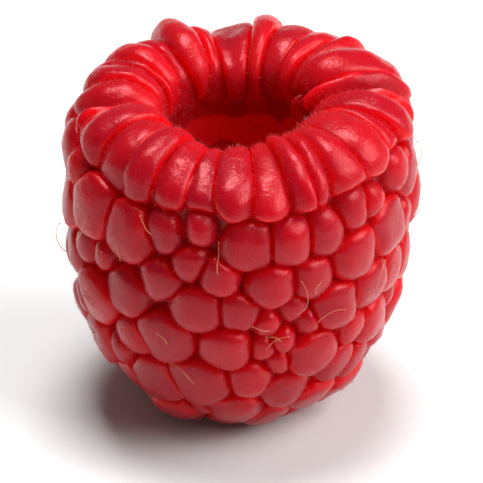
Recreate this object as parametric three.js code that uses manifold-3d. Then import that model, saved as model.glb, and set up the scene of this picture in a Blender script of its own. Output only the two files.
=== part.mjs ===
// A picked raspberry: one hollow fruit, grown as a single piece, standing on its blunt tip with its mouth up.
// The fruit is a cup of drupelets. Each drupelet is a juicy ball squeezed flat against its neighbours, and it
// reaches right through the cup's wall, so its outer end is a dome and its inner end is a small bump in the
// hollow that the stalk's white core left when the fruit was pulled off.
//
// The part's frame is in millimetres, +Z up and -Y the front. The origin is under the middle of the fruit, on
// the surface it rests on.

import * as THREE from "three";
import { mergeVertices } from "three/addons/utils/BufferGeometryUtils.js";
import Module from "manifold-3d";

// ---- Driving dimensions ----

const WIDTH = 23; // left to right, over the drupelets
const DEPTH = 22.6; // front to back: the fruit isn't quite round
const HEIGHT = 23.5; // from the flattened tip to the highest drupelet of the rim
const WALL = 6.5; // from a drupelet's outer end to its inner end
const WALL_RADIUS = 8.1; // from the fruit's axis to the middle of the wall, at the widest place
const WIDEST_AT = 17.4; // height of the widest place
const DRUPELET = 2.95; // usual width of the drupelets below the rim
const STRETCH = 1.3; // how much taller than wide they are
const RIM_DRUPELET = 2.2; // usual width of the drupelets round the rim
const RIM_ROW = 3.5; // room that the rim's drupelets take, up the outside

// ---- The cup's wall ----

const HALF_WALL = WALL / 2;
const RIM_RISE = 2.5; // half the height of a rim drupelet
const PRESSED = 0.9; // how far the fruit's own weight flattens its tip
const SHOULDER = 14; // how slowly the wall closes in above the widest place
const BLUNTNESS = 2.5; // of the cup below the widest place, where 2 would be an ellipse
const CUP_DEPTH = WIDEST_AT + PRESSED - HALF_WALL; // from the widest place down to the tip drupelet's middle
const RIM_HEIGHT = HEIGHT - RIM_RISE - WIDEST_AT; // from the widest place up to the rim drupelets' middles
const RIM_PHI = Math.PI / 2 + Math.asin(RIM_HEIGHT / SHOULDER);

function signedPower(x, power) {
  return Math.sign(x) * Math.abs(x) ** power;
}

// A point of the (radius, height) plane, a depth outward from the middle of the wall, and the outward way there.
// phi runs up the wall: it is 0 at the tip, a quarter turn at the widest place and RIM_PHI at the rim.
function onWall(phi, depth = 0) {
  const aboveWidest = phi > Math.PI / 2;
  const rise = aboveWidest ? SHOULDER : CUP_DEPTH;
  const bluntness = aboveWidest ? 2 : BLUNTNESS;
  const across = Math.sin(phi) ** (2 / bluntness);
  const down = signedPower(Math.cos(phi), 2 / bluntness);
  const steep = rise * across ** (bluntness - 1);
  const outward = new THREE.Vector2(steep, -WALL_RADIUS * signedPower(down, bluntness - 1)).normalize();
  const middle = new THREE.Vector2(WALL_RADIUS * across, WIDEST_AT - rise * down);
  return { point: middle.addScaledVector(outward, depth), outward };
}

// The wall from tip to rim as a run of points, the given depth outward from its middle.
function wallRun(depth) {
  const STEPS = 60;
  return Array.from({ length: STEPS + 1 }, (_, i) => onWall((RIM_PHI * i) / STEPS, depth).point);
}

// A point of the (radius, height) plane, turned by theta about the fruit's axis.
function turned(flat, theta) {
  return new THREE.Vector3(flat.x * Math.cos(theta), flat.x * Math.sin(theta), flat.y);
}

// The outside from tip to rim in short steps: how far up it each step is, its radius, and the area below it.
function measureOutside() {
  const STEPS = 400;
  const steps = [{ phi: 0, up: 0, radius: 0, area: 0 }];
  for (let i = 1; i <= STEPS; i++) {
    const phi = (RIM_PHI * i) / STEPS;
    const to = onWall(phi, HALF_WALL).point;
    const last = steps[i - 1];
    const length = to.distanceTo(onWall(last.phi, HALF_WALL).point);
    steps.push({ phi, up: last.up + length, radius: to.x, area: last.area + 2 * Math.PI * to.x * length });
  }
  return steps;
}

const outside = measureOutside();
const TO_RIM = outside[outside.length - 1].up;

function stepAt(up) {
  return outside.find((step) => step.up >= up) ?? outside[outside.length - 1];
}

// ---- Where each drupelet sits ----

const GOLDEN = Math.PI * (3 - Math.sqrt(5)); // each drupelet grows this turn round from the one below it
const PACKING = 0.87; // area a drupelet takes, as a share of its width times its height
const SIZE_SPREAD = 0.26;
const TIP_SIZE = 1.15; // drupelets grow larger toward the tip
const RUNT_SIZE = 0.6; // of the undersized drupelets caught between full ones
const RUNT_EVERY = 10;
const FIRST_RUNT = 8;
const CLUMP = { runts: 5, up: 18, theta: -1.22, size: 0.6, spread: 2.4 }; // where several stayed small
const TIP_ROOM = 1.1; // the least room between the tip's drupelet and the next, in drupelet widths
const TOP_ROW_ROOM = { least: 0.7, bySize: 0.3 }; // and between the rim and the highest ones, in rim rows
const TOP_ROW_SPREAD = 0.9; // how unevenly those end below the rim, in millimetres
const SETTLING = 30; // rounds in which crowded drupelets push each other apart
const PUSH = 0.35;

// A repeatable number from -1 to 1 for drupelet i, of a different kind for each thing that is left to chance.
function chance(i, kind) {
  const x = Math.sin(i * 12.9898 + kind * 78.233) * 43758.5453;
  return 2 * (x - Math.floor(x)) - 1;
}

// The drupelets below the rim, spiralling up from the tip.
function sproutSpiral() {
  const all = stepAt(TO_RIM - RIM_ROW / 2).area;
  const count = Math.round(all / (PACKING * DRUPELET * DRUPELET * STRETCH));
  const spots = [];
  for (let i = 0; i < count; i++) {
    const { up } = outside.find((step) => step.area >= (all * (i + 0.3)) / count);
    const full = THREE.MathUtils.lerp(TIP_SIZE, 1, up / TO_RIM) * (1 + SIZE_SPREAD * chance(i, 1));
    const size = i % RUNT_EVERY === FIRST_RUNT ? RUNT_SIZE : full;
    spots.push({ up: i === 0 ? 0 : up, theta: i * GOLDEN, size });
  }
  for (let i = 0; i < CLUMP.runts; i++) {
    const up = CLUMP.up + CLUMP.spread * chance(i, 2);
    const theta = CLUMP.theta + (CLUMP.spread * chance(i, 3)) / stepAt(CLUMP.up).radius;
    spots.push({ up, theta, size: CLUMP.size });
  }
  return spots;
}

function settle(spots) {
  for (let round = 0; round < SETTLING; round++) {
    for (let i = 0; i < spots.length; i++) {
      for (let j = i + 1; j < spots.length; j++) {
        pushApart(spots[i], spots[j]);
      }
    }
    spots[0].up = 0;
    spots.slice(1).forEach((spot, i) => {
      const room = RIM_ROW * (TOP_ROW_ROOM.least + TOP_ROW_ROOM.bySize * spot.size);
      const highest = TO_RIM - room - TOP_ROW_SPREAD * chance(i, 11);
      spot.up = THREE.MathUtils.clamp(spot.up, TIP_ROOM * DRUPELET, highest);
    });
  }
}

function pushApart(a, b) {
  const radius = Math.max(stepAt((a.up + b.up) / 2).radius, 1);
  const turn = b.theta - a.theta;
  const across = Math.atan2(Math.sin(turn), Math.cos(turn)) * radius;
  const apart = new THREE.Vector2(across, (b.up - a.up) / STRETCH);
  const wanted = (DRUPELET * (a.size + b.size)) / 2;
  const gap = apart.length();
  if (gap >= wanted || gap === 0) return;
  apart.multiplyScalar((PUSH * (wanted - gap)) / gap);
  a.theta -= apart.x / radius;
  a.up -= apart.y * STRETCH;
  b.theta += apart.x / radius;
  b.up += apart.y * STRETCH;
}

// ---- How each drupelet stands ----

const BODY_OUT = 0.8; // how far outside the wall's middle a drupelet is thickest
const BODY_LENGTH = { least: 0.82, bySize: 0.12, spread: 0.05 }; // where its end is, in half walls
const FREE_SHARE = 0.62; // half its width if nothing squeezed it, as a share of its usual width
const TILT = 0.18; // how far a drupelet may lean from standing straight out of the cup
const RIM_IN = 0.3; // the rim's drupelets stand this far inside the wall's middle, and reach into the mouth
const RIM_HALF_LENGTH = 3.25;
const RIM_LOPSIDED = 0.12; // how much further they reach in on one side of the fruit
const RIM_DROOP = 0.15; // how steeply they fall away outward
const RIM_FREE_SHARE = 0.74;
const RIM_SPREADS = { width: 0.5, height: 0.06, length: 0.04 }; // how uneven they are
const RIM_UNEVEN = 0.45; // how far below the rim the lowest of them ends, in millimetres
const RIM_GIRTH = 1.6; // how hard they push back the drupelets below them

function bodyDrupelet({ up, theta, size }, i) {
  const halfWidth = FREE_SHARE * DRUPELET * size;
  const usualLength = HALF_WALL * (BODY_LENGTH.least + BODY_LENGTH.bySize * size);
  const halfLength = usualLength * (1 + BODY_LENGTH.spread * chance(i, 4)) - BODY_OUT;
  const { point, outward } = onWall(stepAt(up).phi, BODY_OUT);
  const halves = { halfLength, halfHeight: halfWidth * STRETCH, halfWidth };
  return shaped(i, point, outward, theta, halves, (DRUPELET * size) / 2);
}

// The rim's drupelets are narrow and tall, and fold over into the mouth.
function rimDrupelets(first) {
  const crestRadius = stepAt(TO_RIM).radius;
  const count = Math.round((2 * Math.PI * crestRadius) / RIM_DRUPELET);
  const widths = Array.from({ length: count }, (_, i) => 1 + RIM_SPREADS.width * chance(i, 5));
  const total = widths.reduce((sum, width) => sum + width, 0);
  const outward = new THREE.Vector2(1, -RIM_DROOP).normalize();
  let passed = 0;
  return widths.map((width, i) => {
    const theta = (2 * Math.PI * (passed + width / 2)) / total;
    passed += width;
    const halfHeight = RIM_RISE * (1 + RIM_SPREADS.height * chance(i, 6));
    const lopsided = RIM_LOPSIDED * Math.cos(theta);
    const halfLength = RIM_HALF_LENGTH * (1 + lopsided + RIM_SPREADS.length * chance(i, 7));
    const { point } = onWall(RIM_PHI, -RIM_IN);
    point.y += RIM_RISE - halfHeight + (RIM_UNEVEN * (chance(i, 12) - 1)) / 2;
    const halves = { halfLength, halfHeight, halfWidth: RIM_FREE_SHARE * RIM_DRUPELET * width };
    const girth = Math.hypot(RIM_GIRTH, (RIM_DRUPELET * width * point.x) / crestRadius / 2);
    return shaped(first + i, point, outward, theta, halves, girth);
  });
}

function shaped(i, point, outward, theta, halves, girth) {
  const straight = turned(outward, theta);
  const up = turned(new THREE.Vector2(-outward.y, outward.x), theta);
  const aside = straight.clone().cross(up);
  const leaning = straight.addScaledVector(up, TILT * chance(i, 9));
  leaning.addScaledVector(aside, TILT * chance(i, 10)).normalize();
  const upward = up.addScaledVector(leaning, -up.dot(leaning)).normalize();
  return { centre: turned(point, theta), outward: leaning, upward, ...halves, weight: girth * girth };
}

// ---- The shape of one drupelet ----

const DOME_POWER = 2.6; // over 2, so that a dome is flatter on top than an ellipse
const SQUEEZE_POWER = 7; // how sharply a dome turns into the flats against its neighbours
const CONTACT_REACH = 1.6 * WALL; // drupelets whose middles are further apart than this never touch
const LEAST_PLANE = 0.2; // from a runt's middle to the plane where a large neighbour crowds it

// Squeezed drupelets meet on a plane between their middles, nearer the smaller one.
function contactsOf(drupelet, all) {
  return all
    .filter((other) => other !== drupelet && other.centre.distanceTo(drupelet.centre) < CONTACT_REACH)
    .map((other) => {
      const towards = other.centre.clone().sub(drupelet.centre);
      const gap = towards.length();
      const plane = Math.max(LEAST_PLANE, (gap + (drupelet.weight - other.weight) / gap) / 2);
      return { towards: towards.divideScalar(gap), plane };
    });
}

// The distance from a drupelet's middle to its skin in direction u.
function reach(drupelet, u) {
  const { outward, upward, halfLength, halfHeight, halfWidth } = drupelet;
  const along = u.dot(outward);
  const up = u.dot(upward);
  const aside = Math.sqrt(Math.max(0, 1 - along * along - up * up));
  const free =
    (Math.abs(along) / halfLength) ** DOME_POWER +
    (Math.abs(up) / halfHeight) ** DOME_POWER +
    (aside / halfWidth) ** DOME_POWER;
  let crowding = free ** (SQUEEZE_POWER / DOME_POWER);
  for (const { towards, plane } of drupelet.contacts) {
    crowding += Math.max(0, u.dot(towards) / plane) ** SQUEEZE_POWER;
  }
  return crowding ** (-1 / SQUEEZE_POWER);
}

// ---- The flesh under the crevices, as a plain cup ----

const OUTER_CREVICE = 1.1; // greatest depth of the crevices between the domes, outside and inside
const INNER_CREVICE = 0.8;
const FACETING = 23;
const CROWDING_TO_TIP = 0.75; // spreads the cup's corners evenly between the wide outside and the hollow

function cupGeometry() {
  const crest = onWall(RIM_PHI).point.add(new THREE.Vector2(0, RIM_RISE - OUTER_CREVICE));
  const profile = new THREE.SplineCurve([
    ...wallRun(HALF_WALL - OUTER_CREVICE),
    crest,
    ...wallRun(INNER_CREVICE - HALF_WALL).reverse(),
  ]);
  const ball = new THREE.IcosahedronGeometry(1, FACETING);
  ball.deleteAttribute("normal");
  ball.deleteAttribute("uv");
  const cup = mergeVertices(ball, 1e-5);
  moveCorners(cup, (corner) => {
    const fromTip = Math.acos(THREE.MathUtils.clamp(-corner.z, -1, 1)) / Math.PI;
    const flat = profile.getPointAt(fromTip ** (1 / CROWDING_TO_TIP));
    corner.copy(turned(flat, Math.atan2(corner.y, corner.x)));
  });
  return cup;
}

function moveCorners(geometry, move) {
  const corners = geometry.getAttribute("position");
  const corner = new THREE.Vector3();
  for (let i = 0; i < corners.count; i++) {
    move(corner.fromBufferAttribute(corners, i));
    corners.setXYZ(i, corner.x, corner.y, corner.z);
  }
}

// ---- Swelling the cup out into its drupelets ----

const SNAP = 0.3; // a corner this close to the contact between two drupelets is drawn onto it
const INNER_SWELLING = 0.5; // the inner ends are held back by the core that they grew on

// The drupelet that a point of the cup belongs to, by the same planes that the drupelets meet on.
function ownerOf(corner, drupelets) {
  let owner;
  let least = Infinity;
  for (const drupelet of drupelets) {
    const away = drupelet.centre.distanceToSquared(corner) - drupelet.weight;
    if (away < least) {
      least = away;
      owner = drupelet;
    }
  }
  return owner;
}

function swell(corner, drupelets) {
  const owner = ownerOf(corner, drupelets);
  const out = corner.clone().sub(owner.centre);
  const inside = out.dot(owner.outward) < 0 && out.dot(owner.upward) < RIM_RISE / 2;
  if (!inside) {
    for (const { towards, plane } of owner.contacts) {
      const short = plane - out.dot(towards);
      if (short < SNAP) out.addScaledVector(towards, short);
    }
  }
  const distance = out.length();
  out.divideScalar(distance);
  const swollen = Math.max(distance, reach(owner, out));
  const length = inside ? THREE.MathUtils.lerp(distance, swollen, INNER_SWELLING) : swollen;
  corner.copy(owner.centre).addScaledVector(out, length);
}

// ---- The whole fruit's own unevenness ----

const LEAN = 0.2; // how far the rim stands off to one side of the tip
const RIM_TILT = 0.1; // how much higher the rim is at the back than in the middle, and lower at the front
const CLEFT = 1.1; // depth of the notch in the back of the rim, where two drupelets parted
const CLEFT_WIDTH = 0.16;
const BACK = Math.PI / 2 + 0.12;

function makeUneven(corner) {
  const up = THREE.MathUtils.clamp(corner.z / HEIGHT, 0, 1);
  const theta = Math.atan2(corner.y, corner.x);
  const offAxis = Math.min(1, Math.hypot(corner.x, corner.y) / WALL_RADIUS);
  const offCleft = Math.abs(theta - BACK) / CLEFT_WIDTH;
  corner.z += (RIM_TILT * up * up * corner.y) / WALL_RADIUS;
  corner.z -= CLEFT * up ** 6 * offAxis * Math.exp(-offCleft * offCleft);
  corner.x += LEAN * up * up;
}

// ---- Joining it all into one solid ----

function fitToDrivingDimensions(geometry) {
  geometry.computeBoundingBox();
  const { min, max } = geometry.boundingBox;
  geometry.translate(-(min.x + max.x) / 2, -(min.y + max.y) / 2, 0);
  geometry.scale(WIDTH / (max.x - min.x), DEPTH / (max.y - min.y), HEIGHT / max.z);
}

const wasm = await Module();
wasm.setup();

function solidFrom(geometry) {
  return new wasm.Manifold(
    new wasm.Mesh({
      numProp: 3,
      vertProperties: geometry.getAttribute("position").array,
      triVerts: new Uint32Array(geometry.index.array),
    }),
  );
}

function geometryFrom(solid) {
  const { numVert, vertProperties, triVerts } = solid.getMesh();
  const geometry = new THREE.BufferGeometry();
  geometry.setAttribute("position", new THREE.BufferAttribute(vertProperties.slice(0, 3 * numVert), 3));
  geometry.setIndex(new THREE.BufferAttribute(triVerts, 1));
  geometry.computeVertexNormals();
  return geometry;
}

// Everything under the surface that the fruit rests on is cut away, which leaves its lowest drupelets flat.
function belowTheTable() {
  const block = new THREE.BoxGeometry(2 * WIDTH, 2 * WIDTH, WIDTH);
  block.deleteAttribute("normal");
  block.deleteAttribute("uv");
  return solidFrom(mergeVertices(block.translate(0, 0, -WIDTH / 2)));
}

const spots = sproutSpiral();
settle(spots);
const drupelets = [...spots.map(bodyDrupelet), ...rimDrupelets(spots.length)];
for (const drupelet of drupelets) drupelet.contacts = contactsOf(drupelet, drupelets);

const body = cupGeometry();
moveCorners(body, (corner) => swell(corner, drupelets));
moveCorners(body, makeUneven);
fitToDrivingDimensions(body);

const skin = new THREE.MeshStandardMaterial({ color: 0xb3101e, roughness: 0.42, metalness: 0 });

const raspberry = new THREE.Mesh(geometryFrom(solidFrom(body).subtract(belowTheTable())), skin);
raspberry.name = "raspberry";

const fruit = new THREE.Group();
fruit.add(raspberry);

export default fruit;
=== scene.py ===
# A picked raspberry on a pale table: its drupelets, the dried threads left on them, the down all over them,
# and the studio that it stands in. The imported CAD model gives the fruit's box, and all is fitted to it.

import math
import random

import bpy
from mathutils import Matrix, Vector
from mathutils.bvhtree import BVHTree


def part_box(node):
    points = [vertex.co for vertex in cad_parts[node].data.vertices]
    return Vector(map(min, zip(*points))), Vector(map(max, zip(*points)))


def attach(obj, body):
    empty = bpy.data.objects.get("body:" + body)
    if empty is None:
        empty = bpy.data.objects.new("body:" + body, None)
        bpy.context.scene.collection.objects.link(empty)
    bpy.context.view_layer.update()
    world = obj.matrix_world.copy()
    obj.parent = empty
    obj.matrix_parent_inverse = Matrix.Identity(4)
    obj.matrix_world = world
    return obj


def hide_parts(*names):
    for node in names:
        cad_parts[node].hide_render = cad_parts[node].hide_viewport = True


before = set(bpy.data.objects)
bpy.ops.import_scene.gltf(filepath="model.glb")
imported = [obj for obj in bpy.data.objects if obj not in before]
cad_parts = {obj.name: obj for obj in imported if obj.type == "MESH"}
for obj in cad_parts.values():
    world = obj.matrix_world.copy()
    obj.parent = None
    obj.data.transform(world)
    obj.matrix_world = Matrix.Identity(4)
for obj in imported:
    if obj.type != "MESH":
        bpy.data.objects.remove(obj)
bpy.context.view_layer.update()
fruit_low, fruit_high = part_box("raspberry")
fruit_size = fruit_high - fruit_low


# ==== The drupelets ====
# A raspberry is a hollow cup of over a hundred juicy sacs, each grown round a seed on a white core that stays
# on the plant when the fruit is picked. They swell until they press flat on each other, so each is a dome
# outside, and the ones round the mouth are tall and narrow and fold over the rim into the hollow.

# The fruit is grown in millimetres, and the last step fits it to the frame's box in metres.
WALL = 6.5  # from a drupelet's outer end to its inner end
HEIGHT = 23.5
WIDEST_AT = 17.4  # height of the widest place
DRUPELET = 2.95  # usual width
STRETCH = 1.3  # how much taller than wide a drupelet is
RIM_DRUPELET = 2.2  # usual width of the drupelets round the rim
RIM_ROW = 3.5  # room that they take, up the outside
HALF_WALL = WALL / 2
RIM_RISE = 2.5  # half the height of a rim drupelet
PRESSED = 0.9  # how far the fruit's own weight flattens its tip
SHOULDER = 14  # how slowly the wall closes in above the widest place
BLUNTNESS = 2.5  # of the cup below the widest place, where 2 would be an ellipse
WALL_RADIUS = 8.1  # from the axis to the middle of the wall
CUP_DEPTH = WIDEST_AT + PRESSED - HALF_WALL
RIM_HEIGHT = HEIGHT - RIM_RISE - WIDEST_AT
RIM_PHI = math.pi / 2 + math.asin(RIM_HEIGHT / SHOULDER)


def signed_power(x, power):
    return math.copysign(abs(x) ** power, x)


def on_wall(phi, depth=0.0):
    """A point of the (radius, height) plane, a depth outward from the wall's middle, and the way outward.

    phi runs up the wall: it is 0 at the tip, a quarter turn at the widest place and RIM_PHI at the rim."""
    rise, power = (SHOULDER, 1) if phi > math.pi / 2 else (CUP_DEPTH, 2 / BLUNTNESS)
    across = math.sin(phi) ** power
    down = signed_power(math.cos(phi), power)
    steepness = 2 / power - 1
    outward = Vector((rise * across ** steepness, -WALL_RADIUS * signed_power(down, steepness))).normalized()
    return Vector((WALL_RADIUS * across, WIDEST_AT - rise * down)) + outward * depth, outward


def turned(flat, theta):
    """A point of the (radius, height) plane, turned by theta about the fruit's axis."""
    return Vector((flat[0] * math.cos(theta), flat[0] * math.sin(theta), flat[1]))


def measure_outside():
    """The outside in short steps from tip to rim: each is its phi, distance up, radius and area below it."""
    steps = 400
    measured = [(0.0, 0.0, 0.0, 0.0)]
    for i in range(1, steps + 1):
        phi, last = RIM_PHI * i / steps, measured[-1]
        to = on_wall(phi, HALF_WALL)[0]
        length = (to - on_wall(last[0], HALF_WALL)[0]).length
        measured.append((phi, last[1] + length, to[0], last[3] + 2 * math.pi * to[0] * length))
    return measured


OUTSIDE = measure_outside()
TO_RIM = OUTSIDE[-1][1]


def step_at(up):
    return next((step for step in OUTSIDE if step[1] >= up), OUTSIDE[-1])


def chance(i, kind):
    """A repeatable number from -1 to 1 for drupelet i, of a different kind for each thing left to chance."""
    x = math.sin(i * 12.9898 + kind * 78.233) * 43758.5453
    return 2 * (x - math.floor(x)) - 1


GOLDEN = math.pi * (3 - math.sqrt(5))  # each drupelet grows this turn round from the one below it
PACKING = 0.87  # area a drupelet takes, as a share of its width times its height
SIZE_SPREAD = 0.26
TIP_SIZE = 1.15  # drupelets grow larger toward the tip
RUNT_SIZE = 0.6  # of the undersized ones caught between full ones
RUNT_EVERY = 10
FIRST_RUNT = 8
CLUMP_RUNTS = 5  # where several stayed small together
CLUMP_UP = 18.0
CLUMP_THETA = -1.22
CLUMP_SIZE = 0.6
CLUMP_SPREAD = 2.4
TIP_ROOM = 1.1  # the least room between the tip's drupelet and the next, in drupelet widths
TOP_ROW_ROOM = 0.7  # and between the rim and the highest ones, in rim rows, for the smallest
TOP_ROW_ROOM_BY_SIZE = 0.3
TOP_ROW_SPREAD = 0.9  # how unevenly those end below the rim
SETTLING = 30  # rounds in which crowded drupelets push each other apart
PUSH = 0.35


def sprout_spiral():
    """The drupelets below the rim, from the tip up: each is its distance up, its angle round and its size."""
    area = step_at(TO_RIM - RIM_ROW / 2)[3]
    count = round(area / (PACKING * DRUPELET * DRUPELET * STRETCH))
    spots = []
    for i in range(count):
        up = next(step[1] for step in OUTSIDE if step[3] >= area * (i + 0.3) / count)
        full = (TIP_SIZE + (1 - TIP_SIZE) * up / TO_RIM) * (1 + SIZE_SPREAD * chance(i, 1))
        spots.append([up if i else 0.0, i * GOLDEN, RUNT_SIZE if i % RUNT_EVERY == FIRST_RUNT else full])
    for i in range(CLUMP_RUNTS):
        theta = CLUMP_THETA + CLUMP_SPREAD * chance(i, 3) / step_at(CLUMP_UP)[2]
        spots.append([CLUMP_UP + CLUMP_SPREAD * chance(i, 2), theta, CLUMP_SIZE])
    return spots


def push_apart(a, b):
    radius = max(step_at((a[0] + b[0]) / 2)[2], 1)
    turn = b[1] - a[1]
    apart = Vector((math.atan2(math.sin(turn), math.cos(turn)) * radius, (b[0] - a[0]) / STRETCH))
    wanted = DRUPELET * (a[2] + b[2]) / 2
    if 0 < apart.length < wanted:
        apart *= PUSH * (wanted - apart.length) / apart.length
        a[1] -= apart.x / radius
        a[0] -= apart.y * STRETCH
        b[1] += apart.x / radius
        b[0] += apart.y * STRETCH


def settle(spots):
    for _ in range(SETTLING):
        for i, spot in enumerate(spots):
            for other in spots[i + 1:]:
                push_apart(spot, other)
        spots[0][0] = 0.0
        for i, spot in enumerate(spots[1:]):
            room = RIM_ROW * (TOP_ROW_ROOM + TOP_ROW_ROOM_BY_SIZE * spot[2])
            highest = TO_RIM - room - TOP_ROW_SPREAD * chance(i, 11)
            spot[0] = min(max(spot[0], TIP_ROOM * DRUPELET), highest)


BODY_OUT = 0.8  # how far outside the wall's middle a drupelet is thickest
BODY_LENGTH = 0.82  # where its end is, in half walls, for the smallest
BODY_LENGTH_BY_SIZE = 0.12
BODY_LENGTH_SPREAD = 0.05
FREE_SHARE = 0.62  # half its width if nothing squeezed it, as a share of its usual width
RIM_FREE_SHARE = 0.74
RIM_IN = 0.3  # the rim's drupelets stand this far inside the wall's middle, and reach into the mouth
RIM_HALF_LENGTH = 3.25
RIM_LOPSIDED = 0.12  # how much further they reach in on one side of the fruit
RIM_DROOP = 0.15  # how steeply they fall away outward
RIM_WIDTH_SPREAD = 0.5
RIM_HEIGHT_SPREAD = 0.14
RIM_LENGTH_SPREAD = 0.10
RIM_UNEVEN = 0.8  # how far below the rim the lowest of them ends
RIM_GIRTH = 1.6  # how hard they push back the drupelets below them
TILT = 0.18  # how far a drupelet may lean from standing straight out of the cup


def shaped(point, outward, theta, halves, girth, i):
    """A drupelet: its middle, its outward and upward directions, its half sizes, and how hard it pushes."""
    out = turned(outward, theta)
    upward = turned((-outward.y, outward.x), theta)
    sideways = out.cross(upward)
    leaning = (out + upward * TILT * chance(i, 9) + sideways * TILT * chance(i, 10)).normalized()
    upward = (upward - leaning * upward.dot(leaning)).normalized()
    return turned(point, theta), leaning, upward, halves, girth


def body_drupelet(spot, i):
    up, theta, size = spot
    half_width = FREE_SHARE * DRUPELET * size
    usual_length = HALF_WALL * (BODY_LENGTH + BODY_LENGTH_BY_SIZE * size)
    half_length = usual_length * (1 + BODY_LENGTH_SPREAD * chance(i, 4)) - BODY_OUT
    point, outward = on_wall(step_at(up)[0], BODY_OUT)
    halves = (half_length, half_width * STRETCH, half_width)
    return shaped(point, outward, theta, halves, DRUPELET * size / 2, i)


def rim_drupelets():
    """The rim's drupelets are narrow and tall, of uneven widths, and fold over into the mouth."""
    crest_radius = step_at(TO_RIM)[2]
    count = round(2 * math.pi * crest_radius / RIM_DRUPELET)
    widths = [1 + RIM_WIDTH_SPREAD * chance(i, 5) for i in range(count)]
    outward = Vector((1, -RIM_DROOP)).normalized()
    passed, made = 0.0, []
    for i, width in enumerate(widths):
        theta = 2 * math.pi * (passed + width / 2) / sum(widths)
        passed += width
        half_height = RIM_RISE * (1 + RIM_HEIGHT_SPREAD * chance(i, 6))
        lopsided = RIM_LOPSIDED * math.cos(theta)
        half_length = RIM_HALF_LENGTH * (1 + lopsided + RIM_LENGTH_SPREAD * chance(i, 7))
        point = on_wall(RIM_PHI, -RIM_IN)[0]
        point.y += RIM_RISE - half_height + RIM_UNEVEN * (chance(i, 12) - 1) / 2
        halves = (half_length, half_height, RIM_FREE_SHARE * RIM_DRUPELET * width)
        girth = math.hypot(RIM_GIRTH, RIM_DRUPELET * width * point.x / crest_radius / 2)
        made.append(shaped(point, outward, theta, halves, girth, i + len(spots)))
    return made


spots = sprout_spiral()
settle(spots)
grown = [body_drupelet(spot, i) for i, spot in enumerate(spots)] + rim_drupelets()


def give(mesh, name, kind, values):
    """Stores a value for each point of a mesh: kind is FLOAT or FLOAT_VECTOR."""
    attribute = mesh.attributes.new(name, kind, "POINT")
    if kind == "FLOAT":
        attribute.data.foreach_set("value", values)
    else:
        attribute.data.foreach_set("vector", [x for value in values for x in value])


def drupelet_middles():
    """A point at the middle of each drupelet, with its directions, half sizes, push and ripeness."""
    mesh = bpy.data.meshes.new("drupelets")
    mesh.from_pydata([middle for middle, _, _, _, _ in grown], [], [])
    give(mesh, "outward", "FLOAT_VECTOR", [outward for _, outward, _, _, _ in grown])
    give(mesh, "upward", "FLOAT_VECTOR", [upward for _, _, upward, _, _ in grown])
    give(mesh, "halves", "FLOAT_VECTOR", [halves for _, _, _, halves, _ in grown])
    give(mesh, "push", "FLOAT", [girth * girth for _, _, _, _, girth in grown])
    give(mesh, "ripeness", "FLOAT", [chance(i, 8) for i in range(len(grown))])
    give(mesh, "at_rim", "FLOAT", [float(i >= len(spots)) for i in range(len(grown))])
    return mesh


def cup_line(outer, inner, crest):
    """Half of the flesh's section, as a curve: up the outside, over the rim and down into the hollow."""
    steps, bends = 60, 8
    line = [on_wall(RIM_PHI * i / steps, outer)[0] for i in range(steps + 1)]
    for i in range(1, bends):
        turn = math.pi * i / bends
        across = outer if turn < math.pi / 2 else inner
        line.append(on_wall(RIM_PHI)[0] + Vector((across * math.cos(turn), crest * math.sin(turn))))
    line += [on_wall(RIM_PHI * i / steps, -inner)[0] for i in range(steps, -1, -1)]
    curve = bpy.data.curves.new("cup_line", "CURVE")
    curve.dimensions = "3D"
    spline = curve.splines.new("POLY")
    spline.points.add(len(line) - 1)
    for point, at in zip(spline.points, line):
        point.co = (at.x, 0, at.y, 1)
    return curve


def connect(tree, value, socket):
    """Feeds a node's input with a field, another node's output or a plain value."""
    if isinstance(value, Field):
        value = value.socket
    if isinstance(value, bpy.types.NodeSocket):
        tree.links.new(value, socket)
    else:
        socket.default_value = value


def add(tree, kind, inputs=None, **settings):
    step = tree.nodes.new(kind)
    for name, value in settings.items():
        setattr(step, name, value)
    for name, value in (inputs or {}).items():
        connect(tree, value, step.inputs[name])
    return step


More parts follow.
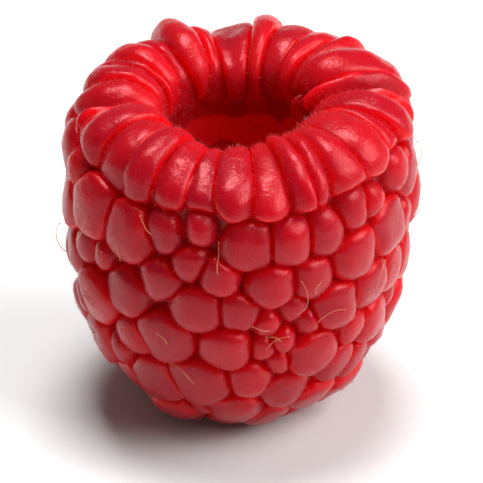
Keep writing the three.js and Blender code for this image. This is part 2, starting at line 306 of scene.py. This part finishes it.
class Field:
    """A value at every point of a surface, worked out by nodes, so that a formula reads as plain sums."""

    def __init__(self, tree, socket):
        self.tree, self.socket = tree, socket
        self.is_vector = socket.type == "VECTOR"

    def maths(self, operation, *others):
        step = add(self.tree, "ShaderNodeMath", dict(enumerate((self, *others))), operation=operation)
        return Field(self.tree, step.outputs[0])

    def vector(self, operation, *others):
        step = add(self.tree, "ShaderNodeVectorMath", dict(enumerate((self, *others))), operation=operation)
        gives_number = operation in ("DOT_PRODUCT", "LENGTH", "DISTANCE")
        return Field(self.tree, step.outputs[1 if gives_number else 0])

    def __add__(self, other):
        return self.vector("ADD", other) if self.is_vector else self.maths("ADD", other)

    def __sub__(self, other):
        return self.vector("SUBTRACT", other) if self.is_vector else self.maths("SUBTRACT", other)

    def __rsub__(self, other):
        return self * -1 + other

    def __mul__(self, other):
        if not self.is_vector:
            return self.maths("MULTIPLY", other)
        step = add(self.tree, "ShaderNodeVectorMath", {0: self, 3: other}, operation="SCALE")
        return Field(self.tree, step.outputs[0])

    def __truediv__(self, other):
        if not self.is_vector:
            return self.maths("DIVIDE", other)
        return self * (other.maths("POWER", -1) if isinstance(other, Field) else 1 / other)

    def __pow__(self, power):
        return self.maths("POWER", power)

    def __abs__(self):
        return self.maths("ABSOLUTE")

    def dot(self, other):
        return self.vector("DOT_PRODUCT", other)

    def length(self):
        return self.vector("LENGTH")

    def parts(self):
        step = add(self.tree, "ShaderNodeSeparateXYZ", {0: self})
        return [Field(self.tree, part) for part in step.outputs]

    def at_least(self, lowest):
        return self.maths("MAXIMUM", lowest)

    def at_most(self, highest):
        return self.maths("MINIMUM", highest)

    def ramp(self, start, end):
        """Rises smoothly from 0 at start to 1 at end."""
        inputs = {0: self, 1: start, 2: end}
        step = add(self.tree, "ShaderNodeMapRange", inputs, interpolation_type="SMOOTHSTEP")
        return Field(self.tree, step.outputs[0])

    def towards(self, other, share):
        """This value moved the given share of the way to another."""
        return self + (other - self) * share


def whole(tree, x, y, z):
    return Field(tree, add(tree, "ShaderNodeCombineXYZ", {0: x, 1: y, 2: z}).outputs[0])


def named(tree, label, kind="FLOAT"):
    step = add(tree, "GeometryNodeInputNamedAttribute", {"Name": label}, data_type=kind)
    return Field(tree, step.outputs["Attribute"])


def store(tree, geometry, label, value, kind="FLOAT"):
    inputs = {"Geometry": geometry, "Name": label, "Value": value}
    return add(tree, "GeometryNodeStoreNamedAttribute", inputs, data_type=kind, domain="POINT").outputs[0]


def move(tree, geometry, position, selection=True):
    inputs = {"Geometry": geometry, "Position": position, "Selection": selection}
    return add(tree, "GeometryNodeSetPosition", inputs).outputs[0]


def repeat(tree, times, geometry, step):
    """Puts the geometry through step(geometry, turn) that many times, where turn counts up from 0."""
    start = tree.nodes.new("GeometryNodeRepeatInput")
    end = tree.nodes.new("GeometryNodeRepeatOutput")
    start.pair_with_output(end)
    connect(tree, times, start.inputs["Iterations"])
    connect(tree, geometry, start.inputs["Geometry"])
    changed = step(start.outputs["Geometry"], Field(tree, start.outputs["Iteration"]))
    connect(tree, changed, end.inputs["Geometry"])
    return end.outputs["Geometry"]


SOCKETS = {int: "NodeSocketInt", float: "NodeSocketFloat", bpy.types.Object: "NodeSocketObject"}


def new_tree(label, sizes):
    """An empty Geometry Nodes tree with a geometry input and one named input for each size."""
    tree = bpy.data.node_groups.new(label, "GeometryNodeTree")
    tree.interface.new_socket("Geometry", in_out="INPUT", socket_type="NodeSocketGeometry")
    for name, value in sizes.items():
        tree.interface.new_socket(name, in_out="INPUT", socket_type=SOCKETS[type(value)])
    tree.interface.new_socket("Geometry", in_out="OUTPUT", socket_type="NodeSocketGeometry")
    given = tree.nodes.new("NodeGroupInput")
    return tree, {output.name: Field(tree, output) for output in given.outputs if output.name}


def finish_tree(tree, geometry, material):
    real = add(tree, "GeometryNodeRealizeInstances", {"Geometry": geometry}).outputs[0]
    dressed = add(tree, "GeometryNodeSetMaterial", {"Geometry": real, "Material": material}).outputs[0]
    connect(tree, dressed, tree.nodes.new("NodeGroupOutput").inputs["Geometry"])


def grow(label, mesh, tree, sizes):
    """Runs a tree on a mesh, and gives the result as a plain piece at the origin."""
    seedling = bpy.data.objects.new(label + "_seed", mesh)
    bpy.context.scene.collection.objects.link(seedling)
    modifier = seedling.modifiers.new("grow", "NODES")
    modifier.node_group = tree
    for item in tree.interface.items_tree:
        if item.in_out == "INPUT" and item.name in sizes:
            modifier[item.identifier] = sizes[item.name]
    evaluated = seedling.evaluated_get(bpy.context.evaluated_depsgraph_get())
    grown_mesh = bpy.data.meshes.new_from_object(evaluated)
    bpy.data.objects.remove(seedling)
    grown_mesh.name = label
    piece = bpy.data.objects.new(label, grown_mesh)
    bpy.context.scene.collection.objects.link(piece)
    return piece


DOME_POWER = 2.6  # over 2, so that a dome is flatter on top than an ellipse
RIM_DOME_POWER = 2.1
SQUEEZE_POWER = 12  # how sharply a dome turns into the flats against its neighbours
OUTER_CREVICE = 1.6  # greatest depth of the crevices between the domes, outside and inside
INNER_CREVICE = 0.8
SAME = 0.1  # drupelets whose middles are nearer than this are one and the same
LEAST_PLANE = 0.2  # from a runt's middle to the plane where a large neighbour crowds it
HELD_FROM, HELD_TO = 0.2, 1.4  # how far inside a drupelet's middle the core began to hold its skin back
CREST_FROM, CREST_TO = 0.6, 2.4  # and how far above it the skin is free again
TIP_SHARE = 0.167  # of the section, that the mesh's bottom patch takes
FLOOR_SHARE = 0.85  # where its top patch, the hollow's floor, begins
BACK = math.pi / 2 + 0.12
FRONT = -math.pi / 2
RIM_FREEDOM = 0.7  # how much less the core held back the inner ends of the rim's drupelets

cup_curve = cup_line(HALF_WALL - OUTER_CREVICE, HALF_WALL - INNER_CREVICE, RIM_RISE - OUTER_CREVICE)
cup_section = bpy.data.objects.new("cup_section", cup_curve)
bpy.context.scene.collection.objects.link(cup_section)

swell_sizes = {
    "Cup Section": cup_section,
    "Drupelets": len(grown),
    "Around": 101,
    "Up": 196,
    "Snap": 0.08,
    "Inner Swelling": 0.5,
    "Dents per Millimetre": 0.55,
    "Dent Depth": 0.22,
    "Wrinkles per Millimetre": 2.2,
    "Wrinkle Depth": 0.035,
    "Lean": 0.2,
    "Rim Tilt": 0.1,
    "Cleft": 1.1,
    "Cleft Width": 0.16,
    "Front Dip": 0.9,
    "Front Dip Width": 0.4,
    "Width": fruit_size.x,
    "Depth": fruit_size.y,
    "Height": fruit_size.z,
}


def swelling_tree(material):
    """A cup whose skin is pushed out round each drupelet's middle until it meets its neighbours."""
    tree, size = new_tree("swell_drupelets", swell_sizes)
    middles = size["Geometry"]
    here = Field(tree, tree.nodes.new("GeometryNodeInputPosition").outputs[0])

    def of_drupelet(index, label, kind="FLOAT"):
        value = here if label == "middle" else named(tree, label, kind)
        inputs = {"Geometry": middles, "Value": value, "Index": index}
        return Field(tree, add(tree, "GeometryNodeSampleIndex", inputs, data_type=kind).outputs[0])

    # The plain cup: a box's skin wrapped round the section, its bottom on the tip, its top in the hollow.
    sides = {"Vertices X": size["Around"], "Vertices Y": size["Around"], "Vertices Z": size["Up"]}
    cup = add(tree, "GeometryNodeMeshCube", {"Size": (2, 2, 2), **sides}).outputs["Mesh"]
    x, y, z = here.parts()
    off_axis = abs(x).at_least(abs(y))
    even_x, even_y = [(part * (math.pi / 4)).maths("TANGENT") for part in (x, y)]
    theta = even_y.maths("ARCTAN2", even_x)
    climb = (z + 1) / 2
    share = climb.towards(climb * (FLOOR_SHARE - TIP_SHARE) + TIP_SHARE, off_axis)
    section = add(tree, "GeometryNodeObjectInfo", {"Object": size["Cup Section"]}).outputs["Geometry"]
    sample = add(tree, "GeometryNodeSampleCurve", {"Curves": section, "Factor": share}, mode="FACTOR")
    radius, _, height = Field(tree, sample.outputs["Position"]).parts()
    wrapped = whole(tree, radius * theta.maths("COSINE"), radius * theta.maths("SINE"), height)
    skin = move(tree, cup, wrapped)

    # Which drupelet each point belongs to, by the planes that the drupelets meet on.
    far = whole(tree, 1e6, 0, 0)
    skin = store(tree, skin, "nearest", far, "FLOAT_VECTOR")
    nearest = named(tree, "nearest", "FLOAT_VECTOR")

    def claim(geometry, turn):
        apart = (here - of_drupelet(turn, "middle", "FLOAT_VECTOR")).length()
        away = apart * apart - of_drupelet(turn, "push")
        closer = away.maths("LESS_THAN", nearest.parts()[0])
        switch = {"Switch": closer, "False": nearest, "True": whole(tree, away, turn, 0)}
        chosen = Field(tree, add(tree, "GeometryNodeSwitch", switch, input_type="VECTOR").outputs[0])
        return store(tree, geometry, "nearest", chosen, "FLOAT_VECTOR")

    skin = repeat(tree, size["Drupelets"], skin, claim)
    owner = nearest.parts()[1]
    middle = of_drupelet(owner, "middle", "FLOAT_VECTOR")
    outward = of_drupelet(owner, "outward", "FLOAT_VECTOR")
    upward = of_drupelet(owner, "upward", "FLOAT_VECTOR")
    push = of_drupelet(owner, "push")
    out = here - middle
    inside = (out.dot(outward) * -1).ramp(HELD_FROM, HELD_TO)
    below_crest = 1 - out.dot(upward).ramp(CREST_FROM, CREST_TO)
    held = inside * below_crest * (1 - of_drupelet(owner, "at_rim") * RIM_FREEDOM)

    def contact(turn):
        """The way to another drupelet's middle, how far it is, and how far the plane between the two is."""
        between = of_drupelet(turn, "middle", "FLOAT_VECTOR") - middle
        gap = between.length().at_least(SAME / 10)
        plane = (gap + (push - of_drupelet(turn, "push")) / gap) / 2
        return between / gap, gap, plane.at_least(LEAST_PLANE)

    # A point very near such a plane is drawn onto it, which keeps the crevices clean.
    def snap(geometry, turn):
        way, gap, plane = contact(turn)
        short = plane - out.dot(way)
        near = short.maths("LESS_THAN", size["Snap"]) * gap.maths("GREATER_THAN", SAME)
        return move(tree, geometry, here + way * short, near * held.maths("LESS_THAN", 0.5))

    skin = repeat(tree, size["Drupelets"], skin, snap)

    # How hard the neighbours squeeze each point, and so how far the drupelet's skin can swell there.
    skin = store(tree, skin, "squeeze", 0.0)
    unit = out.vector("NORMALIZE")

    def squeeze(geometry, turn):
        way, gap, plane = contact(turn)
        pressed = (unit.dot(way).at_least(0) / plane) ** SQUEEZE_POWER * gap.maths("GREATER_THAN", SAME)
        return store(tree, geometry, "squeeze", named(tree, "squeeze") + pressed)

    skin = repeat(tree, size["Drupelets"], skin, squeeze)
    along = unit.dot(outward)
    up = unit.dot(upward)
    aside = (1 - along * along - up * up).at_least(0) ** 0.5
    half_length, half_height, half_width = of_drupelet(owner, "halves", "FLOAT_VECTOR").parts()
    power = of_drupelet(owner, "at_rim") * (RIM_DOME_POWER - DOME_POWER) + DOME_POWER
    shares = (abs(along) / half_length, abs(up) / half_height, aside / half_width)
    free = shares[0] ** power + shares[1] ** power + shares[2] ** power
    room = free ** (power ** -1 * SQUEEZE_POWER)
    squeezed = named(tree, "squeeze")
    swollen = ((room + squeezed) ** (-1 / SQUEEZE_POWER)).at_least(out.length())
    swollen = swollen.towards(out.length().towards(swollen, size["Inner Swelling"]), held)
    skin = store(tree, skin, "crevice", squeezed / (room + squeezed))
    skin = store(tree, skin, "hollow", held)
    skin = store(tree, skin, "top", along)
    skin = store(tree, skin, "owner", owner)
    skin = store(tree, skin, "ripeness", of_drupelet(owner, "ripeness"))
    skin = store(tree, skin, "at_rim", of_drupelet(owner, "at_rim"))

    def unevenness(scale, detail):
        step = add(tree, "ShaderNodeTexNoise", {"Vector": here, "Scale": scale, "Detail": detail})
        return Field(tree, step.outputs["Fac"]) * 2 - 1

    skin = move(tree, skin, middle + unit * swollen)
    dents = unevenness(size["Dents per Millimetre"], 1.0) * size["Dent Depth"]
    wrinkles = unevenness(size["Wrinkles per Millimetre"], 2.0) * size["Wrinkle Depth"]
    skin = move(tree, skin, here + unit * (dents + wrinkles) * (1 - held))

    # The fruit leans a little and its rim tilts and dips at the front. At its back two drupelets have parted.
    x, y, z = here.parts()
    climb = (z / HEIGHT).at_least(0).at_most(1)
    theta = y.maths("ARCTAN2", x)
    off_axis = (whole(tree, x, y, 0).length() / WALL_RADIUS).at_most(1)
    tilt = y / WALL_RADIUS * climb ** 2 * size["Rim Tilt"]

    def notch(middle, width, depth):
        off_middle = (theta - middle) / width
        return (off_middle * off_middle * -1).maths("EXPONENT") * climb ** 6 * off_axis * depth

    cleft = notch(BACK, size["Cleft Width"], size["Cleft"])
    dip = notch(FRONT, size["Front Dip Width"], size["Front Dip"])
    skin = move(tree, skin, whole(tree, x + climb ** 2 * size["Lean"], y, z + tilt - cleft - dip))

    # It is fitted to the frame's box, and flattened where it rests.
    box = add(tree, "GeometryNodeBoundBox", {"Geometry": skin})
    low, high = [Field(tree, box.outputs[name]).parts() for name in ("Min", "Max")]
    x, y, z = here.parts()
    x = (x - (low[0] + high[0]) / 2) / (high[0] - low[0]) * size["Width"]
    y = (y - (low[1] + high[1]) / 2) / (high[1] - low[1]) * size["Depth"]
    z = (z / high[2] * size["Height"]).at_least(0)
    skin = move(tree, skin, whole(tree, x, y, z))
    smooth = add(tree, "GeometryNodeSetShadeSmooth", {"Geometry": skin, "Shade Smooth": True}).outputs[0]
    finish_tree(tree, smooth, material)
    return tree


RIPE = (0.44, 0.001, 0.008, 1)
RIPEST = (0.28, 0.001, 0.010, 1)
# Partly the pale bloom of the down and partly a painted highlight on the open faces.
BLOOM_AND_HIGHLIGHT = (0.44, 0.014, 0.024, 1)
# A painted glow: brighter red for light shining through the flesh in the crevices.
CREVICE_GLOW = (0.72, 0.001, 0.003, 1)
# A painted glow: bright red for light shining through the thin walls into the hollow.
HOLLOW_GLOW = (0.85, 0.012, 0.016, 1)
BLOTCH_GRAIN, COARSE_GRAIN, FINE_GRAIN = 450, 3600, 8000  # per metre


def flesh():
    """Juicy red flesh under a thin glossy skin, lit from within where it is thin, with a painted glow of
    brighter red in its crevices and hollow.
    """
    material = bpy.data.materials.new("raspberry_flesh")
    material.use_nodes = True
    tree = material.node_tree
    skin = tree.nodes["Principled BSDF"]
    skin.inputs["Roughness"].default_value = 0.25
    skin.inputs["Specular IOR Level"].default_value = 0.5
    skin.inputs["Specular Tint"].default_value = (1.0, 0.36, 0.38, 1)
    skin.inputs["Subsurface Weight"].default_value = 1.0
    skin.inputs["Subsurface Radius"].default_value = (1.0, 0.05, 0.05)
    skin.inputs["Subsurface Scale"].default_value = 0.0055

    place = Field(tree, tree.nodes.new("ShaderNodeTexCoord").outputs["Object"])

    def grain(scale, detail=3.0):
        inputs = {"Vector": place, "Scale": scale, "Detail": detail, "Roughness": 0.6}
        return Field(tree, add(tree, "ShaderNodeTexNoise", inputs).outputs["Fac"])

    def kept(label):
        return Field(tree, add(tree, "ShaderNodeAttribute", attribute_name=label).outputs["Fac"])

    def blend(first, second, share):
        mixed = add(tree, "ShaderNodeMix", {0: share, 6: first, 7: second}, data_type="RGBA")
        return mixed.outputs[2]

    # Riper drupelets are darker and bluer. Their open faces are paler, partly from the bloom of their down
    # and partly as a painted highlight, and their crevices and the hollow get a painted glow of brighter red.
    ripe = (kept("ripeness") * 0.5 + 0.5) * 0.7 + grain(BLOTCH_GRAIN) * 0.5 - 0.1
    # The crevices, where the glow of light through the flesh is painted in and the painted highlight is left
    # out.
    crevice_glow = kept("crevice").ramp(0.02, 0.3)
    colour = blend(RIPE, RIPEST, ripe.at_least(0).at_most(1))
    # Where the painted highlight and the down's bloom pale the open faces, away from the crevices and the
    # hollow.
    pale = (1 - crevice_glow) * (1 - kept("hollow")) * (grain(COARSE_GRAIN).ramp(0.35, 0.7) * 0.5 + 0.5)
    colour = blend(colour, BLOOM_AND_HIGHLIGHT, pale * 0.22)
    # Painted glow: the crevices are painted a brighter red.
    colour = blend(colour, CREVICE_GLOW, crevice_glow * 0.5)
    # Painted glow: the inner ends in the hollow are painted a bright red.
    colour = blend(colour, HOLLOW_GLOW, kept("hollow") * 0.8)
    connect(tree, colour, skin.inputs["Base Color"])

    # The skin is finely wrinkled and pitted.
    fine = grain(FINE_GRAIN, 2.0) * 0.3 + grain(COARSE_GRAIN) * 0.7
    bump = add(tree, "ShaderNodeBump", {"Height": fine, "Distance": 0.00010, "Strength": 0.6})
    connect(tree, bump.outputs[0], skin.inputs["Normal"])
    return material


flesh_material = flesh()
drupelets = grow("drupelets", drupelet_middles(), swelling_tree(flesh_material), swell_sizes)
bpy.data.objects.remove(cup_section)
drupelets.data.attributes.remove(drupelets.data.attributes["nearest"])
drupelets.data.attributes.remove(drupelets.data.attributes["squeeze"])
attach(drupelets, "root")
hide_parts("raspberry")


# ==== The dried threads ====
# Each drupelet grew from one part of the flower, and the flower's thread, with its tiny sticky knob, often
# stays on it. It has dried to a curled gold hair, rooted in the drupelet's top and lying on its neighbours.

THREAD_SHARE = 0.36  # of the drupelets that still have theirs
THREAD_STEPS = 9
THREAD_CLEARANCE = 0.00007  # the nearest that a thread's middle comes to the skin it lies on
SHORTEST_THREAD, LONGEST_THREAD = 0.0011, 0.0032
LOWEST_THREAD, HIGHEST_THREAD = 0.0015, 0.0185  # the lowest are crushed, and the rim's have dropped off
ROOT_DEPTH = 0.0001  # how far under the skin a thread starts
DROOP, FANNING = -math.pi / 2, 1.1  # most hang towards the tip
CURL, CLING = 0.35, 0.16  # how far a thread bends at each step, sideways and towards the skin
thread_random = random.Random(4)
thread_sizes = {"Root Radius": 0.000032, "End Radius": 0.000018, "Knob Radius": 0.000055, "Sides": 5}


def surface_of(piece):
    mesh = piece.data
    return BVHTree.FromPolygons([v.co for v in mesh.vertices], [f.vertices for f in mesh.polygons])


def drupelet_tops(piece):
    """The point of each drupelet that faces straight out, and the skin's direction there."""
    mesh = piece.data
    facing_out = mesh.attributes["top"].data
    owners = mesh.attributes["owner"].data
    least = 0.9
    tops = {}
    for vertex, top, owner in zip(mesh.vertices, facing_out, owners):
        index = round(owner.value)
        if top.value > tops.get(index, (least,))[0]:
            tops[index] = (top.value, vertex.co.copy(), vertex.normal.copy())
    return [(place, normal) for _, place, normal in (tops[i] for i in sorted(tops))]


def thread_path(surface, root, normal):
    """A curl that leaves the skin at its root and then follows it, a little above it."""
    length = thread_random.uniform(SHORTEST_THREAD, LONGEST_THREAD)
    aside = normal.cross(Vector((0, 0, 1))).normalized()
    heading = thread_random.gauss(DROOP, FANNING)
    across = aside * math.cos(heading) + aside.cross(normal) * -math.sin(heading)
    way = (across + normal * thread_random.uniform(0.1, 1.0)).normalized()
    curl = thread_random.uniform(-1, 1) * CURL
    path = [root - normal * ROOT_DEPTH]
    for _ in range(THREAD_STEPS):
        at = path[-1] + way * length / THREAD_STEPS
        near, facing, _, _ = surface.find_nearest(at)
        height = (at - near).dot(facing)
        if height < THREAD_CLEARANCE and len(path) > 1:
            at += facing * (THREAD_CLEARANCE - height)
        at.z = max(at.z, thread_sizes["Knob Radius"])
        path.append(at)
        way = (way + facing.cross(way) * curl - facing * CLING).normalized()
    return path


def thread_lines():
    surface = surface_of(drupelets)
    mesh = bpy.data.meshes.new("dried_threads")
    points, edges = [], []
    for root, normal in drupelet_tops(drupelets):
        wanted = thread_random.random() < THREAD_SHARE
        path = thread_path(surface, root, normal)
        if wanted and LOWEST_THREAD < root.z < HIGHEST_THREAD:
            edges += [(len(points) + i, len(points) + i + 1) for i in range(len(path) - 1)]
            points += path
    mesh.from_pydata(points, edges, [])
    return mesh


def thread_tree(material):
    """A tapering tube along each line, with a knob on its end."""
    tree, size = new_tree("threads", thread_sizes)
    line = add(tree, "GeometryNodeMeshToCurve", {"Mesh": size["Geometry"]}).outputs[0]
    along = Field(tree, tree.nodes.new("GeometryNodeSplineParameter").outputs["Factor"])
    radius = size["Root Radius"].towards(size["End Radius"], along)
    round_section = {"Resolution": size["Sides"], "Radius": 1.0}
    ring = add(tree, "GeometryNodeCurvePrimitiveCircle", round_section, mode="RADIUS")
    sized = {"Curve": line, "Profile Curve": ring.outputs["Curve"], "Fill Caps": True, "Scale": radius}
    tube = add(tree, "GeometryNodeCurveToMesh", sized).outputs[0]
    ends = add(tree, "GeometryNodeCurveEndpointSelection", {"Start Size": 0, "End Size": 1}).outputs[0]
    ball = {"Radius": size["Knob Radius"], "Subdivisions": 2}
    knob = add(tree, "GeometryNodeMeshIcoSphere", ball).outputs["Mesh"]
    tips = {"Points": line, "Selection": ends, "Instance": knob}
    knobs = add(tree, "GeometryNodeInstanceOnPoints", tips).outputs[0]
    both = tree.nodes.new("GeometryNodeJoinGeometry")
    connect(tree, tube, both.inputs[0])
    connect(tree, knobs, both.inputs[0])
    smooth = add(tree, "GeometryNodeSetShadeSmooth", {"Geometry": both.outputs[0]}).outputs[0]
    finish_tree(tree, smooth, material)
    return tree


def blotched(tree, first, second, scale):
    """One colour passing into another in soft blotches, scale of them to a metre."""
    place = Field(tree, tree.nodes.new("ShaderNodeTexCoord").outputs["Object"])
    blotch = add(tree, "ShaderNodeTexNoise", {"Vector": place, "Scale": scale}).outputs["Fac"]
    return add(tree, "ShaderNodeMix", {0: blotch, 6: first, 7: second}, data_type="RGBA").outputs[2]


def dried_thread():
    """Dry, gold plant fibre, browner in places."""
    material = bpy.data.materials.new("dried_thread")
    material.use_nodes = True
    tree = material.node_tree
    skin = tree.nodes["Principled BSDF"]
    skin.inputs["Roughness"].default_value = 0.45
    skin.inputs["Subsurface Weight"].default_value = 0.3
    skin.inputs["Subsurface Scale"].default_value = 0.0002
    colour = blotched(tree, (0.50, 0.08, 0.05, 1), (0.74, 0.36, 0.18, 1), 900)
    connect(tree, colour, skin.inputs["Base Color"])
    return material


threads = grow("dried_threads", thread_lines(), thread_tree(dried_thread()), thread_sizes)
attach(threads, "root")


# ==== The down ====
# Very fine, short hairs grow all over the fruit, and fewer of them deep in the crevices, where the drupelets
# press together. They stand out as a soft bloom wherever the skin turns away from the eye.

down_sizes = {
    "Hairs per Square Metre": 1.1e7,
    "Shortest": 0.0001,
    "Longest": 0.00035,
    "Thickness": 0.0000055,
    "Lean": 0.4,
    "Lowest": 0.0008,  # no hair grows where it would reach under the table
}


def down_tree(material):
    """Short three-sided hairs scattered on the skin, each leaning its own way."""
    tree, size = new_tree("down", down_sizes)
    crowd = 1 - named(tree, "crevice").ramp(0.2, 0.9) * 0.6
    height = Field(tree, tree.nodes.new("GeometryNodeInputPosition").outputs[0]).parts()[2]
    clear = height.maths("GREATER_THAN", size["Lowest"])
    density = size["Hairs per Square Metre"] * crowd * clear
    scatter = {"Mesh": size["Geometry"], "Density": density, "Seed": 11}
    roots = add(tree, "GeometryNodeDistributePointsOnFaces", scatter, distribute_method="RANDOM")
    cone = {"Vertices": 3, "Radius Top": 0.0, "Radius Bottom": 1.0, "Depth": 1.0}
    hair = add(tree, "GeometryNodeMeshCone", cone, fill_type="NGON").outputs["Mesh"]

    def random_value(kind, low, high, seed):
        made = add(tree, "FunctionNodeRandomValue", {"Seed": seed}, data_type=kind)
        slots = [s for s in made.inputs if s.enabled and s.name in ("Min", "Max")]
        connect(tree, low, slots[0])
        connect(tree, high, slots[1])
        return Field(tree, next(s for s in made.outputs if s.enabled))

    lean = random_value("FLOAT_VECTOR", (-1, -1, -1), (1, 1, 1), 21) * size["Lean"]
    way = Field(tree, roots.outputs["Normal"]) + lean
    turn = add(tree, "FunctionNodeAlignRotationToVector", {"Vector": way}, axis="Z").outputs[0]
    long = random_value("FLOAT", size["Shortest"], size["Longest"], 22)
    scale = whole(tree, size["Thickness"], size["Thickness"], long)
    placed = {"Points": roots.outputs["Points"], "Instance": hair, "Rotation": turn, "Scale": scale}
    hairs = add(tree, "GeometryNodeInstanceOnPoints", placed).outputs[0]
    finish_tree(tree, hairs, material)
    return tree


def pale_down():
    """Dull hairs, painted with the red of the skin's light shining through them."""
    material = bpy.data.materials.new("pale_down")
    material.use_nodes = True
    tree = material.node_tree
    skin = tree.nodes["Principled BSDF"]
    skin.inputs["Roughness"].default_value = 0.5
    # Painted light: the hairs' red stands for the light of the red skin under them shining through them.
    colour = blotched(tree, (0.50, 0.04, 0.045, 1), (0.70, 0.18, 0.15, 1), 300)
    connect(tree, colour, skin.inputs["Base Color"])
    return material


down = grow("down", drupelets.data, down_tree(pale_down()), down_sizes)
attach(down, "root")


# ==== The table ====
# A plain, dull, pale sheet that the fruit stands on, far wider than the fruit. It is flat and has no
# thickness, because only its top shows. It isn't part of the object.

TABLE_HALF = 3.0
table_mesh = bpy.data.meshes.new("table")
corners = [(x * TABLE_HALF, y * TABLE_HALF, 0) for x, y in ((-1, -1), (1, -1), (1, 1), (-1, 1))]
table_mesh.from_pydata(corners, [], [(0, 1, 2, 3)])
table = bpy.data.objects.new("table", table_mesh)
bpy.context.scene.collection.objects.link(table)
table_material = bpy.data.materials.new("pale_table")
table_material.use_nodes = True
table_skin = table_material.node_tree.nodes["Principled BSDF"]
table_skin.inputs["Base Color"].default_value = (0.76, 0.76, 0.76, 1)
table_skin.inputs["Roughness"].default_value = 0.7
table_mesh.materials.append(table_material)


# ==== The studio ====
# A large soft lamp on the right, a smaller one overhead that lights the hollow, and pale walls all round.


def soft_lamp(label, place, side, watts):
    light = bpy.data.lights.new(label, "AREA")
    light.shape = "SQUARE"
    light.size = side
    light.energy = watts
    lamp = bpy.data.objects.new(label, light)
    lamp.location = place
    target = Vector((0, 0, fruit_high.z / 2))
    lamp.rotation_euler = (target - Vector(place)).to_track_quat("-Z", "Y").to_euler()
    bpy.context.scene.collection.objects.link(lamp)


soft_lamp("side_lamp", (0.84, -0.24, 0.76), 0.84, 16.5)
soft_lamp("top_lamp", (-0.04, 0.20, 1.24), 0.5, 17.0)

walls = bpy.data.worlds.new("pale_walls")
bpy.context.scene.world = walls
walls.use_nodes = True
walls.node_tree.nodes["Background"].inputs["Color"].default_value = (1, 1, 1, 1)
walls.node_tree.nodes["Background"].inputs["Strength"].default_value = 0.12
bpy.context.scene.view_settings.view_transform = "Standard"


# ==== The camera ====
# A long lens, looking a little down into the hollow.

VIEW_ELEVATION = math.radians(33)
VIEW_DISTANCE = 0.45
FRUIT_SHARE = 0.74  # of the picture's width, that the fruit fills
LOOK_AT_SHARE = 0.475  # of the fruit's height, that the middle of the picture is at
SENSOR = 36
lens = bpy.data.cameras.new("camera")
lens.sensor_width = SENSOR
lens.lens = SENSOR * VIEW_DISTANCE * FRUIT_SHARE / fruit_size.x
lens.clip_start = 0.01
camera = bpy.data.objects.new("camera", lens)
look_at = Vector((0, 0, LOOK_AT_SHARE * fruit_size.z))
towards_camera = Vector((0, -math.cos(VIEW_ELEVATION), math.sin(VIEW_ELEVATION)))
camera.location = look_at + towards_camera * VIEW_DISTANCE
camera.rotation_euler = (look_at - camera.location).to_track_quat("-Z", "Y").to_euler()
bpy.context.scene.collection.objects.link(camera)
bpy.context.scene.camera = camera
